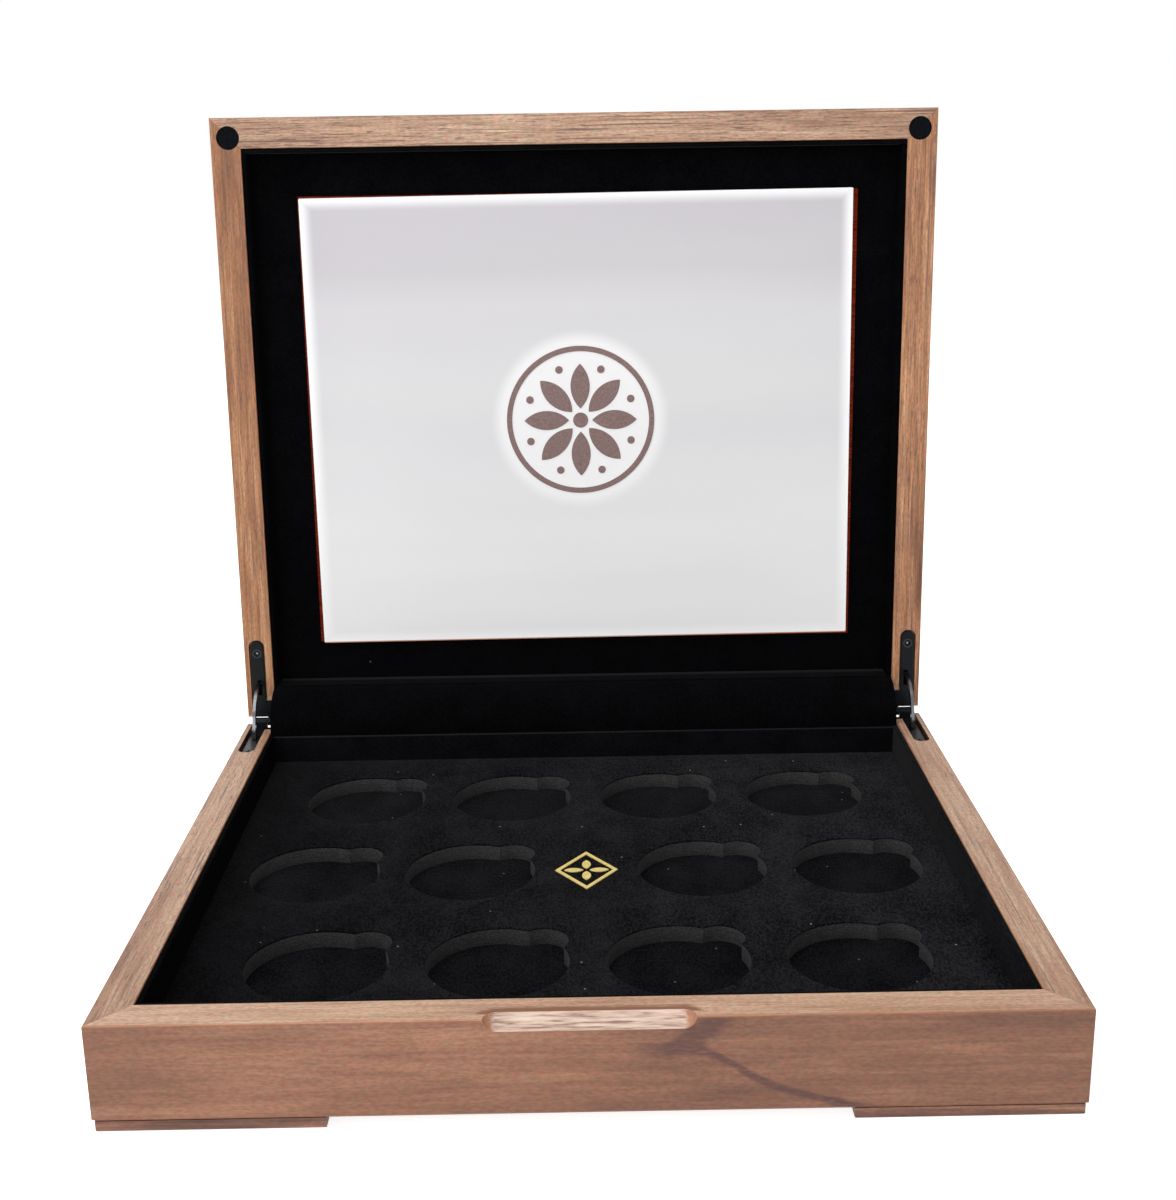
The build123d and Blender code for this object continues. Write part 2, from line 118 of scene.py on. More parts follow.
def length_of(tree, *sides):
    """The straight distance that has these sides."""
    return maths(tree, "SQRT", plus(tree, *[times(tree, side, side) for side in sides]))


def fade(tree, value, start, end):
    """Nought before the start, one after the end, and smooth in between."""
    places = {"Value": value, "From Min": start, "From Max": end}
    return add_node(tree, "ShaderNodeMapRange", places, interpolation_type="SMOOTHSTEP").outputs[0]


def tint(tree, under, over, amount, blend="MIX"):
    """Lay one colour over another."""
    inputs = {0: amount, 6: under, 7: over}
    return add_node(tree, "ShaderNodeMix", inputs, data_type="RGBA", blend_type=blend).outputs[2]


def shade(tree, under, over, amount=1.0):
    """Darken one colour with another."""
    return tint(tree, under, over, amount, "MULTIPLY")


def tones(tree, value, *stops):
    ramp = add_node(tree, "ShaderNodeValToRGB", {"Fac": value})
    elements = ramp.color_ramp.elements
    while len(elements) < len(stops):
        elements.new(0.5)
    for element, (position, tone) in zip(elements, stops):
        element.position = position
        element.color = tone
    return ramp.outputs["Color"]


def object_place(tree):
    """Where a point of the surface is, in metres."""
    return add_node(tree, "ShaderNodeTexCoord").outputs["Object"]


def rim_place(tree, rim):
    """Where a point is from the middle of a rim: to the right, to the rear and up when shut."""
    inputs = {"Vector": object_place(tree), **rim}
    return add_node(tree, "ShaderNodeMapping", inputs, vector_type="TEXTURE").outputs[0]


def split(tree, place):
    """A place's three numbers."""
    return add_node(tree, "ShaderNodeSeparateXYZ", {"Vector": place}).outputs[:]


def streaks(tree, place, size, detail=2.0, roughness=0.5, distortion=0.0):
    """Soft noise drawn out to a streak's size in metres."""
    scale = tuple(1 / length for length in size)
    inputs = {
        "Vector": add_node(tree, "ShaderNodeMapping", {"Vector": place, "Scale": scale}).outputs[0],
        "Scale": 1.0,
        "Detail": detail,
        "Roughness": roughness,
        "Distortion": distortion,
    }
    return add_node(tree, "ShaderNodeTexNoise", inputs).outputs["Fac"]


def new_finish(name):
    finish = bpy.data.materials.new(name)
    finish.use_nodes = True
    return finish, finish.node_tree, finish.node_tree.nodes["Principled BSDF"]


def raise_grain(tree, shader, height, depth):
    inputs = {"Height": height, "Distance": depth, "Strength": 1.0}
    bump = add_node(tree, "ShaderNodeBump", inputs)
    tree.links.new(bump.outputs["Normal"], shader.inputs["Normal"])


# Each pattern in the wood: its size along the bar and across it, its detail, and how rough and
# how wavy it is.
WOOD_PATTERNS = {
    "clouds": ((0.14, 0.02, 0.02), 3.0, 0.5, 0.6),
    "bands": ((0.06, 0.003, 0.004), 4.0, 0.6, 0.4),
    "fibres": ((0.028, 0.001, 0.001), 3.0, 0.6),
    "flecks": ((0.0042, 0.0014, 0.0014), 2.0, 0.6),
    "mottle": ((0.002, 0.0008, 0.0008), 2.0, 0.6),
    "vessels": ((0.0075, 0.00055, 0.00055), 1.0),
    "patches": ((0.05, 0.012, 0.012), 1.0),
    "lines": ((0.07, 0.0009, 0.0009), 2.0, 0.55, 0.2),
    "seams": ((0.09, 0.005, 0.005), 1.0),
}
WHITE = colour(255, 255, 255)
WORN_OUTER_EDGE = colour(168, 104, 66)
WORN_INNER_EDGE = colour(186, 128, 90)
GLUE_LINE = colour(128, 84, 62)
OPEN_PORE = colour(92, 64, 60)
GROWTH_LINE = colour(114, 84, 74)


def walnut(name, rim, along, face_tones, rim_tones, grain, pores, shift, marks=None):
    """Walnut with its grain along the bar. Face and rim have a dark, a middle and a pale tone.

    Grain and pores go from 0, faint, to 1, strong. Shift picks another stretch of the wood.
    """
    finish, tree, shader = new_finish(name)
    place = rim_place(tree, rim)
    turning = {"Vector": place, "Rotation": along, "Location": shift}
    turned = add_node(tree, "ShaderNodeMapping", turning).outputs[0]
    wood_is = {kind: streaks(tree, turned, *size) for kind, size in WOOD_PATTERNS.items()}

    # The figure's tones on the face and on the rim, with small red and green flecks over both
    figure = plus(tree, times(tree, wood_is["clouds"], 0.5), times(tree, wood_is["bands"], 0.5))
    stops = (0.34, 0.5, 0.66)
    face_wood = tones(tree, figure, *zip(stops, face_tones))
    rim_wood = tones(tree, figure, *zip(stops, rim_tones))
    right, rear, up = split(tree, place)
    from_rim = unsigned(tree, up)
    wood = tint(tree, rim_wood, face_wood, fade(tree, from_rim, 0.0001, 0.0004))
    red_and_green = ((0.36, colour(255, 240, 236)), (0.64, colour(242, 250, 240)))
    wood = shade(tree, wood, tones(tree, wood_is["flecks"], *red_and_green))
    wood = shade(tree, wood, tones(tree, wood_is["mottle"], (0.38, colour(228, 222, 218)), (0.6, WHITE)))

    # The rim's worn outer and inner edges, and the glue line in each mitre
    from_side = minus(tree, CASE_HALF_WIDTH, unsigned(tree, right))
    from_end = minus(tree, CASE_HALF_DEPTH, unsigned(tree, rear))
    from_edge = maths(tree, "MINIMUM", from_side, from_end)
    near_rim = fade(tree, from_rim, 0.0009, 0.0003)
    outer = times(tree, fade(tree, from_edge, 0.0007, 0.0002), near_rim)
    inner = fade(tree, from_edge, RAIL_THICKNESS - 0.0006, RAIL_THICKNESS - 0.0002)
    wood = tint(tree, wood, WORN_OUTER_EDGE, times(tree, outer, 0.6))
    wood = tint(tree, wood, WORN_INNER_EDGE, times(tree, inner, near_rim, 0.5))
    mitre = fade(tree, apart_from(tree, from_side, from_end), 0.0003, 0.0001)
    wood = tint(tree, wood, GLUE_LINE, times(tree, mitre, 0.45))

    # Fine fibres, open pores that gather in patches, and growth lines that gather in seams
    fibre_tones = tones(tree, wood_is["fibres"], (0.34, colour(178, 162, 154)), (0.62, WHITE))
    wood = shade(tree, wood, fibre_tones, grain)
    pore_start = minus(tree, 0.73, times(tree, wood_is["patches"], 0.2))
    pore = fade(tree, minus(tree, wood_is["vessels"], pore_start), -0.02, 0.05)
    wood = tint(tree, wood, OPEN_PORE, times(tree, pore, 0.7 * pores))
    line_start = minus(tree, 0.81, times(tree, wood_is["seams"], 0.36))
    line = fade(tree, minus(tree, wood_is["lines"], line_start), -0.02, 0.05)
    wood = tint(tree, wood, GROWTH_LINE, times(tree, line, pores))
    if marks:
        wood = marks(tree, place, turned, wood)
    tree.links.new(wood, shader.inputs["Base Color"])

    # The oil's satin gloss, duller on the dark fibres, and the relief of fibres and pores
    satin = {"Value": wood_is["fibres"], "To Min": 0.58, "To Max": 0.46}
    tree.links.new(add_node(tree, "ShaderNodeMapRange", satin).outputs[0], shader.inputs["Roughness"])
    raise_grain(tree, shader, minus(tree, times(tree, wood_is["fibres"], 0.4), pore), 0.00006)
    return finish


def dress(finish, *names):
    """Give CAD nodes their finish."""
    for name in names:
        for place in nodes[name].material_slots:
            place.material = finish


# The dark streak's path down the front face: tenths of a metre to the right, share of the height.
STREAK_START = (0.12, 0.66)
STREAK_PATH = (
    (0.22, 0.66), (0.31, 0.67), (0.378, 0.61), (0.43, 0.51), (0.48, 0.41),
    (0.567, 0.26), (0.63, 0.19), (0.695, 0.14), (0.85, 0.03),
)
STREAK_END = (0.95, 0.0)


def dark_streak(tree, place, turned, wood):
    """The streak down to the foot, the blot above it, up to the rim, and painted shade at the low right.
    """
    right, rear, up = split(tree, place)
    path = add_node(tree, "ShaderNodeFloatCurve", {"Value": times(tree, right, 10.0)})
    points = path.mapping.curves[0].points
    for point in STREAK_PATH:
        points.new(*point)
    points[0].location = STREAK_START
    points[-1].location = STREAK_END
    path.mapping.update()
    height = times(tree, plus(tree, up, RAIL_HEIGHT), 1 / RAIL_HEIGHT)
    waves = streaks(tree, turned, (0.012, 0.004, 0.004), 3.0)
    sway = times(tree, minus(tree, waves, 0.5), 0.09)
    away = apart_from(tree, plus(tree, height, sway), path.outputs[0])
    between = times(tree, fade(tree, right, 0.01, 0.026), fade(tree, right, 0.095, 0.078))
    thick = plus(tree, times(tree, streaks(tree, turned, (0.02, 0.003, 0.003), 2.0), 0.05), 0.035)
    thick = plus(tree, thick, times(tree, fade(tree, right, 0.042, 0.03), 0.05))
    specks = fade(tree, streaks(tree, turned, (0.0035, 0.0008, 0.0008), 2.0), 0.34, 0.58)
    grainy = plus(tree, times(tree, specks, 0.4), 0.6)
    streak = times(tree, fade(tree, maths(tree, "DIVIDE", away, thick), 1.1, 0.35), between)
    wood = tint(tree, wood, colour(84, 49, 42), times(tree, streak, grainy))

    blot_middle = plus(tree, times(tree, minus(tree, height, 0.85), 0.034), 0.0345)
    blot_side = plus(tree, apart_from(tree, right, blot_middle), times(tree, sway, 0.08))
    blot = times(tree, fade(tree, blot_side, 0.0085, 0.003), fade(tree, height, 0.64, 0.74))
    below_edge = fade(tree, up, -0.0004, -0.0012)
    wood = tint(tree, wood, colour(84, 50, 40), times(tree, blot, below_edge, grainy))
    # Painted shade that darkens the front face towards its lower right.
    painted_shade_low_right = times(tree, fade(tree, height, 0.75, 0.1), fade(tree, right, 0.0, 0.11))
    return shade(tree, wood, colour(226, 222, 222), painted_shade_low_right)


# The scoop is cut with a round-nosed cutter, along the front rim and a little past each end.
SCOOP_HALF_LENGTH = 0.02865
SCOOP_RADIUS = 0.0042
TORN_FIBRES = ((0.013, 0.0011, 0.0011), 3.0, 0.6)


def finger_scoop(tree, place, turned, wood):
    """The scoop's raw wood with its torn fibres, painted shade round its ends and a dark brown band
    behind it.
    """
    right, rear, up = split(tree, place)
    sideways = unsigned(tree, right)
    past_end = maths(tree, "MAXIMUM", minus(tree, sideways, SCOOP_HALF_LENGTH), 0.0)
    behind = plus(tree, rear, CASE_HALF_DEPTH)
    reach = length_of(tree, past_end, behind, up)
    torn = streaks(tree, turned, *TORN_FIBRES)
    uneven = minus(tree, torn, 0.5)
    ragged = plus(tree, reach, times(tree, uneven, 0.004))
    lip = times(tree, fade(tree, ragged, 0.0078, 0.0058), fade(tree, behind, 0.0026, 0.0036))
    wood = tint(tree, wood, colour(130, 82, 54), times(tree, lip, 0.95))
    cut = fade(tree, reach, SCOOP_RADIUS + 0.00012, SCOOP_RADIUS + 0.00004)
    wood = tint(tree, wood, colour(196, 152, 122), cut)
    # Painted shade round the scoop's steep rounded ends, a darker brown outline round the raw wood.
    painted_shade_ends = times(tree, fade(tree, reach, 0.0033, 0.0041), fade(tree, sideways, 0.0285, 0.0305))
    wood = tint(tree, wood, colour(150, 98, 70), times(tree, painted_shade_ends, cut, 0.7))
    raw = tones(
        tree, torn,
        (0.33, colour(140, 106, 92)), (0.44, colour(194, 166, 149)), (0.6, colour(222, 199, 183))
    )
    inside_ends = fade(tree, plus(tree, sideways, times(tree, uneven, 0.008)), 0.0312, 0.0286)
    return tint(tree, wood, raw, times(tree, cut, inside_ends))


def front_marks(tree, place, turned, wood):
    return finger_scoop(tree, place, turned, dark_streak(tree, place, turned, wood))


# Each mortise runs back along a side rail's rim, on both sides of the hinge leaf's long leg.
HINGE_LEG_MIDDLE = 0.14925
MORTISE_HALF_WIDTH = 0.00375
MORTISE_FRONT = 0.0962
MORTISE_DEPTH = 0.0042


def mortise_painted_shade(tree, place, turned, wood):
    """Painted shade on the hinge mortises' walls, near black and speckled with dark red-brown."""
    right, rear, up = split(tree, place)
    from_middle = apart_from(tree, unsigned(tree, right), HINGE_LEG_MIDDLE)
    depth = unsigned(tree, up)
    limits = (
        fade(tree, from_middle, MORTISE_HALF_WIDTH, MORTISE_HALF_WIDTH - 0.00015),
        fade(tree, rear, MORTISE_FRONT, MORTISE_FRONT + 0.0003),
        fade(tree, rear, CASE_HALF_DEPTH - 0.0001, CASE_HALF_DEPTH - 0.0003),
        fade(tree, depth, 0.0001, 0.0004),
        fade(tree, depth, MORTISE_DEPTH + 0.0004, MORTISE_DEPTH),
    )
    # Painted shade down the mortise walls, where the leaf's recess lies in shadow.
    shade_speckle = streaks(tree, turned, (0.004, 0.0008, 0.0008), 2.0)
    painted_shade_tones = tones(tree, shade_speckle, (0.36, colour(14, 7, 5)), (0.64, colour(72, 28, 16)))
    return tint(tree, wood, painted_shade_tones, times(tree, *limits, 0.95))


def dress_rails(part, rim, face_tones, rails):
    """Finish four rails, each with its grain's direction, rim, grain, pores, shift and marks."""
    for side, (along, *rest) in rails.items():
        finish = walnut(f"walnut_{part}_{side}", rim, along, face_tones, *rest)
        dress(finish, f"{part}_{side}_rail")


BASE_FACE = (colour(119, 80, 62), colour(148, 103, 80), colour(174, 127, 101))
PALE_RIM = (colour(188, 146, 119), colour(215, 177, 151), colour(236, 206, 180))
LEFT_RIM = (colour(152, 112, 85), colour(189, 149, 122), colour(217, 183, 157))
RIGHT_RIM = (colour(168, 128, 104), colour(203, 166, 142), colour(229, 199, 177))
dress_rails("base", BASE_RIM, BASE_FACE, {
    "front": (ALONG_X, PALE_RIM, 0.28, 0.25, (0, 0, 0), front_marks),
    "rear": (ALONG_X, PALE_RIM, 0.5, 0.35, (0.7, 0.3, 0), None),
    "left": (ALONG_Y, LEFT_RIM, 0.4, 0.9, (0.4, 0.1, 0), mortise_painted_shade),
    "right": (ALONG_Y, RIGHT_RIM, 0.35, 0.6, (0.9, 0.6, 0), mortise_painted_shade),
})

# Feet. Darker offcuts of the same walnut, sawn to L-shaped strips, chamfered and glued under
# the corners.
FOOT_FACE = (colour(84, 58, 48), colour(140, 98, 80), colour(182, 136, 112))
foot_walnut = walnut("walnut_feet", BASE_RIM, ALONG_X, FOOT_FACE, FOOT_FACE, 1.0, 0.9, (0.2, 0.5, 0.1))
dress(foot_walnut, "foot_front_left", "foot_front_right", "foot_rear_left", "foot_rear_right")


# Boards. The bottom board and the boards inside the tray and the lid are plain brown fibreboard,
# sawn to size and left raw.
def two_tone(name, grain, dark, pale, roughness, bump, shine=0.5, metal=0.0):
    """A finish with one fine grain between two tones, each at its place on the grain's scale."""
    finish, tree, shader = new_finish(name)
    specks = streaks(tree, object_place(tree), *grain)
    tree.links.new(tones(tree, specks, dark, pale), shader.inputs["Base Color"])
    shader.inputs["Roughness"].default_value = roughness
    shader.inputs["Specular IOR Level"].default_value = shine
    shader.inputs["Metallic"].default_value = metal
    if bump:
        raise_grain(tree, shader, specks, bump)
    return finish


board_grain = ((0.0016, 0.0016, 0.0016), 4.0, 0.7, 0.5)
board_dark = (0.3, colour(142, 112, 84))
board_pale = (0.7, colour(184, 154, 120))
fibreboard = two_tone("fibreboard", board_grain, board_dark, board_pale, 0.8, 0.00004)
dress(fibreboard, "base_bottom_board", "tray_riser", "tray_floor_board", "lid_ceiling_board")


# Base linings. Thin boards wrapped in black velvet stand inside the rails and hold the tray.
# The pile rounds their top edges. The left board has a darker copy of the velvet, with painted shade,
# and the right board a paler one, with painted light.
def velvet(name, pile, lit, lint, glow, spread="3D"):
    """Black velvet: a matt pile with brushed patches, a faint glow at a low angle and stray lint.

    On cloth that lies flat the lint is spread in two directions, "2D".
    """
    finish, tree, shader = new_finish(name)
    place = object_place(tree)
    nap = streaks(tree, place, (0.0008, 0.0016, 0.0008), 2.0, 0.65)
    brushed = streaks(tree, place, (0.016, 0.026, 0.016), 4.0, 0.65)
    mixed = plus(tree, times(tree, nap, 0.65), times(tree, brushed, 0.35))
    cloth = tones(tree, mixed, (0.4, pile), (0.61, lit))
    spots = {"Vector": place, "Scale": 62.0}
    cells = add_node(tree, "ShaderNodeTexVoronoi", spots, voronoi_dimensions=spread)
    chosen = add_node(tree, "ShaderNodeSeparateColor", {"Color": cells.outputs["Color"]}).outputs[0]
    speck = fade(tree, cells.outputs["Distance"], 0.028, 0.012)
    speck = times(tree, speck, fade(tree, chosen, 0.78, 0.82), lint)
    cloth = tint(tree, cloth, colour(176, 176, 178), speck)
    tree.links.new(cloth, shader.inputs["Base Color"])
    shader.inputs["Roughness"].default_value = 0.95
    shader.inputs["Specular IOR Level"].default_value = 0.02
    shader.inputs["Sheen Weight"].default_value = glow
    shader.inputs["Sheen Roughness"].default_value = 0.4
    raise_grain(tree, shader, nap, 0.0002)
    return finish


def laid_on(finish):
    """A finish's node tree, where its colour goes in, and the colour that it has so far."""
    tree = finish.node_tree
    entry = tree.nodes["Principled BSDF"].inputs["Base Color"]
    return tree, entry, entry.links[0].from_socket


def painted_edge_highlight(finish, rim, start, end, tone):
    """A painted highlight on the pile, from one depth under the rim to another."""
    tree, entry, cloth = laid_on(finish)
    right, rear, up = split(tree, rim_place(tree, rim))
    tree.links.new(tint(tree, cloth, tone, fade(tree, unsigned(tree, up), start, end)), entry)


def soft_copy(name, edge_round, finish, body):
    """The CAD solid's own shape with soft edges, made in the cloth or the foam."""
    piece = bpy.data.objects.new(name + "_soft", nodes[name].data.copy())
    bpy.context.scene.collection.objects.link(piece)
    bpy.ops.object.select_all(action="DESELECT")
    piece.select_set(True)
    bpy.context.view_layer.objects.active = piece
    bpy.ops.mesh.customdata_custom_splitnormals_clear()
    bpy.ops.object.mode_set(mode="EDIT")
    bpy.ops.mesh.select_all(action="SELECT")
    bpy.ops.mesh.remove_doubles(threshold=0.00001)
    bpy.ops.mesh.dissolve_limited(angle_limit=math.radians(1))
    bpy.ops.object.mode_set(mode="OBJECT")
    rounding = piece.modifiers.new("edges", "BEVEL")
    rounding.width = edge_round
    rounding.segments = 3
    rounding.angle_limit = math.radians(50)
    bpy.ops.object.modifier_apply(modifier="edges")
    bpy.ops.object.shade_smooth_by_angle(angle=math.radians(40))
    piece.data.materials.clear()
    piece.data.materials.append(finish)
    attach(piece, body)
    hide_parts(name)
    return piece


LINING_ROUND = 0.0005
SHEET_ROUND = 0.0002
lining_velvet = velvet("velvet_linings", colour(6, 6, 8), colour(15, 16, 18), 0.5, 0.02)
base_rear_velvet = velvet("velvet_base_rear", colour(6, 6, 8), colour(19, 19, 22), 0.5, 0.02)
# A painted highlight along the top edge of the base's rear lining.
painted_edge_highlight(base_rear_velvet, BASE_RIM, 0.0021, 0.0017, colour(30, 30, 33))
# A darker copy with painted shade for the shadowed boards, and a paler copy with painted light for the
# lit one.
shaded_velvet = velvet("velvet_painted_shade", colour(2, 2, 3), colour(8, 9, 11), 0.5, 0.0)
painted_light_velvet = velvet("velvet_painted_light", colour(5, 5, 7), colour(25, 26, 29), 0.5, 0.02)
base_linings = {
    "front": lining_velvet,
    "rear": base_rear_velvet,
    "left": shaded_velvet,
    "right": painted_light_velvet,
}
for side, cloth in base_linings.items():
    soft_copy(f"base_{side}_lining", LINING_ROUND, cloth, "base")

# Tray floor. A sheet of black velvet, cut to the space inside the linings, lies on the floor board.
# It shows only at the bottom of the coin pockets.
floor_velvet = velvet("velvet_tray_floor", colour(4, 4, 6), colour(26, 26, 29), 0.35, 0.02, "2D")
tray_floor = soft_copy("tray_floor_velvet", SHEET_ROUND, floor_velvet, "base")


# Tray foam. Dark grey die-cut foam, in blocks butted under the velvet. The cut shows its fine cells
# on the walls of the coin pockets.
def die_cut_foam():
    finish, tree, shader = new_finish("pocket_foam")
    place = object_place(tree)
    pores = {"Vector": place, "Scale": 1800.0}
    cells = add_node(tree, "ShaderNodeTexVoronoi", pores).outputs["Distance"]
    knife_marks = streaks(tree, place, (0.004, 0.004, 0.0004), 2.0)
    mixed = plus(tree, times(tree, cells, 0.5), times(tree, knife_marks, 0.5))
    grey = tones(tree, mixed, (0.3, colour(35, 36, 36)), (0.7, colour(63, 64, 63)))
    tree.links.new(grey, shader.inputs["Base Color"])
    shader.inputs["Roughness"].default_value = 0.9
    shader.inputs["Specular IOR Level"].default_value = 0.15
    raise_grain(tree, shader, cells, 0.00015)
    return finish


pocket_foam = die_cut_foam()
for row in ("front", "middle", "rear"):
    for side in ("left", "right"):
        block = soft_copy(f"tray_foam_{row}_{side}", 0.0001, pocket_foam, "base")

# Tray velvet. Black velvet laminated on the foam and cut with it, so its pile turns down a little
# at the lip of each coin pocket. Painted shade makes it darkest at the left and lighter towards the
# right.
TRAY_LIP_ROUND = 0.0004
top_velvet = velvet("velvet_tray_top", colour(5, 5, 7), colour(38, 38, 42), 0.75, 0.03, "2D")
top_tree, top_entry, top_cloth = laid_on(top_velvet)
# Painted shade: darkest at the left, where the left wall's shadow falls, lighter towards the right.
across = {"Value": split(top_tree, object_place(top_tree))[0], "From Min": -0.14, "From Max": 0.14}
top_painted_shade = tones(
    top_tree, add_node(top_tree, "ShaderNodeMapRange", across).outputs[0],
    (0.02, colour(142, 142, 142)), (0.22, colour(206, 206, 206)),
    (0.55, colour(230, 230, 230)), (0.9, WHITE)
)
top_tree.links.new(shade(top_tree, top_cloth, top_painted_shade), top_entry)
tray_top = soft_copy("tray_velvet", TRAY_LIP_ROUND, top_velvet, "base")

# Tray ornament. Gold foil, hot stamped on the velvet in the wide gap of the middle row. The thin foil
# is a little broken by the pile under it.
foil_wear = ((0.0012, 0.0012, 0.0012), 3.0)
foil_dark = (0.3, colour(230, 202, 112))
foil_pale = (0.7, colour(248, 226, 144))
dress(two_tone("gold_foil", foil_wear, foil_dark, foil_pale, 0.42, 0.00004, metal=0.35), "tray_ornament")

# Lid rails. The same walnut bars as in the base, lower, with their rims towards the viewer when the
# lid stands open. The bar at the top shows dark open pores. Shut, the rims lie just over the base's.
RIM_GAP = 0.0003
hinge = next(joint for joint in frame["joints"] if joint["name"] == "lid_hinge")
hinge_axis = Vector(hinge["pos_m"])
lid_opening = math.radians(hinge["range_deg"][1])
shut_rim = Vector((0, 0, rail_high.z + RIM_GAP))
open_rim = hinge_axis + Matrix.Rotation(-lid_opening, 3, "X") @ (shut_rim - hinge_axis)
LID_RIM = {"Location": open_rim, "Rotation": (-lid_opening, 0, 0)}
LID_FACE = (colour(136, 94, 73), colour(160, 113, 88), colour(182, 134, 106))
LID_RIM_TOP = (colour(168, 130, 108), colour(205, 169, 144), colour(229, 198, 173))
LID_RIM_LEFT = (colour(126, 78, 48), colour(183, 128, 87), colour(224, 175, 132))
LID_RIM_RIGHT = (colour(136, 87, 53), colour(205, 150, 110), colour(248, 203, 163))
dress_rails("lid", LID_RIM, LID_FACE, {
    "front": (ALONG_X, LID_RIM_TOP, 0.7, 1.0, (0.3, 0.8, 0), None),
    "rear": (ALONG_X, LID_RIM_TOP, 0.6, 0.5, (0.6, 0.2, 0), None),
    "left": (ALONG_Y, LID_RIM_LEFT, 0.6, 0.8, (0.1, 0.4, 0), mortise_painted_shade),
    "right": (ALONG_Y, LID_RIM_RIGHT, 0.8, 0.9, (0.5, 0.9, 0), mortise_painted_shade),
})

# Lid top board. A panel veneered in the same walnut, with its grain from left to right. It is let
# into the rails, flush with their outer face.
panel = walnut("walnut_lid_panel", LID_RIM, ALONG_X, LID_FACE, LID_FACE, 0.5, 0.4, (0.15, 0.25, 0))
dress(panel, "lid_top_board")

# Lid linings and ceiling. Velvet-wrapped boards line the rails, and a velvet-covered board closes
# the lid behind the plate.
lid_rear_velvet = velvet("velvet_lid_rear", colour(4, 4, 6), colour(11, 11, 13), 0.5, 0.01)
# A painted highlight on the lid's rear lining, where the hinge cover meets it.
painted_edge_highlight(lid_rear_velvet, LID_RIM, 0.0078, 0.0088, colour(32, 32, 35))
# The lid's side boards take the darker copy, with painted shade.
lid_linings = {
    "front": lining_velvet,
    "rear": lid_rear_velvet,
    "left": shaded_velvet,
    "right": shaded_velvet,
}
for side, cloth in lid_linings.items():
    soft_copy(f"lid_{side}_lining", LINING_ROUND, cloth, "lid")
ceiling_velvet = velvet("velvet_lid_ceiling", colour(4, 4, 6), colour(12, 12, 14), 0.35, 0.01)
ceiling = soft_copy("lid_ceiling_velvet", SHEET_ROUND, ceiling_velvet, "lid")

# Plaque. A pale satin plate on a dark brown backing board, stuck to the ceiling, with a round emblem
# printed on it in brown. A line of its brown core shows along the lower edge.
PLATE_HALF_WIDTH = 0.12075
PLATE_HALF_HEIGHT = 0.09995
PLATE_OFFSET = 0.0008
PLATE_TURN = {"Location": (PLATE_OFFSET, 0, 0), "Rotation": (0, 0, math.radians(-0.3))}
EMBLEM_OFFSET = -0.001
EMBLEM_GLOW = (0.041, 0.034)
CORE_LINE = (0.0994, 0.0996)
backing_grain = ((0.008, 0.001, 0.001), 3.0)
backing_dark = (0.3, colour(66, 12, 2))
backing_pale = (0.7, colour(124, 38, 12))
backing_stain = two_tone(
    "plaque_backing", backing_grain, backing_dark, backing_pale, 0.7, 0.00003, shine=0.05
)
dress(backing_stain, "plaque_backing")


def satin_plate():
    """A pale film with a painted reflection, brighter towards its lower edge and in soft bands, and
    painted highlights along its border and round the emblem.
    """
    finish, tree, shader = new_finish("plaque_plate")
    place = rim_place(tree, LID_RIM)
    right, down, up = split(tree, place)
    downwards = {"Value": down, "From Min": -0.1, "From Max": 0.1}
    # Painted reflection: darker at the top, brighter towards the lower edge.
    pale = tones(
        tree, add_node(tree, "ShaderNodeMapRange", downwards).outputs[0],
        (0.16, colour(203, 200, 204)), (0.24, colour(215, 214, 216)),
        (0.5, colour(221, 221, 222)), (0.9, colour(243, 243, 243))
    )
    # Painted reflection in soft bands across the plate.
    clouds = streaks(tree, place, (0.3, 0.035, 0.1), 1.0)
    pale = shade(tree, pale, tones(tree, clouds, (0.35, colour(250, 249, 251)), (0.65, WHITE)))
    squared = add_node(tree, "ShaderNodeMapping", {"Vector": place, **PLATE_TURN}, vector_type="TEXTURE")
    along_width, along_height, off_plate = split(tree, squared.outputs[0])
    from_side = minus(tree, PLATE_HALF_WIDTH, unsigned(tree, along_width))
    from_end = minus(tree, PLATE_HALF_HEIGHT, unsigned(tree, along_height))
    # Painted highlight along the plate's border.
    border_highlight = fade(tree, maths(tree, "MINIMUM", from_side, from_end), 0.006, 0.0)
    pale = tint(tree, pale, colour(254, 254, 255), border_highlight)
    core = fade(tree, along_height, *CORE_LINE)
    pale = tint(tree, pale, colour(190, 108, 60), times(tree, core, 0.85))
    from_emblem = length_of(tree, minus(tree, right, PLATE_OFFSET), minus(tree, down, EMBLEM_OFFSET))
    # Painted highlight round the emblem.
    glow = fade(tree, from_emblem, *EMBLEM_GLOW)
    pale = tint(tree, pale, colour(246, 246, 247), times(tree, glow, 0.8))
    tree.links.new(pale, shader.inputs["Base Color"])
    shader.inputs["Roughness"].default_value = 0.45
    raise_grain(tree, shader, streaks(tree, place, (0.03, 0.03, 0.03), 2.0), 0.00002)
    return finish


dress(satin_plate(), "plaque_plate")
ink_grain = ((0.0008, 0.0008, 0.0008), 3.0)
ink_dark = (0.3, colour(104, 78, 74))
ink_pale = (0.7, colour(132, 106, 102))
dress(two_tone("brown_print", ink_grain, ink_dark, ink_pale, 0.5, 0.0), "plaque_emblem")

# Closing magnets. Black-coated discs pressed flush into the lid's front corners, and two more under
# the base's rim.
coating_grain = ((0.0009, 0.0009, 0.0009), 3.0)
coating_dark = (0.36, colour(1, 2, 3))
coating_pale = (0.64, colour(17, 20, 24))
magnet_coating = two_tone(
    "magnet_coating", coating_grain, coating_dark, coating_pale, 0.6, 0.00003, shine=0.03
)
dress(magnet_coating, "base_magnet_left", "base_magnet_right", "lid_magnet_left", "lid_magnet_right")

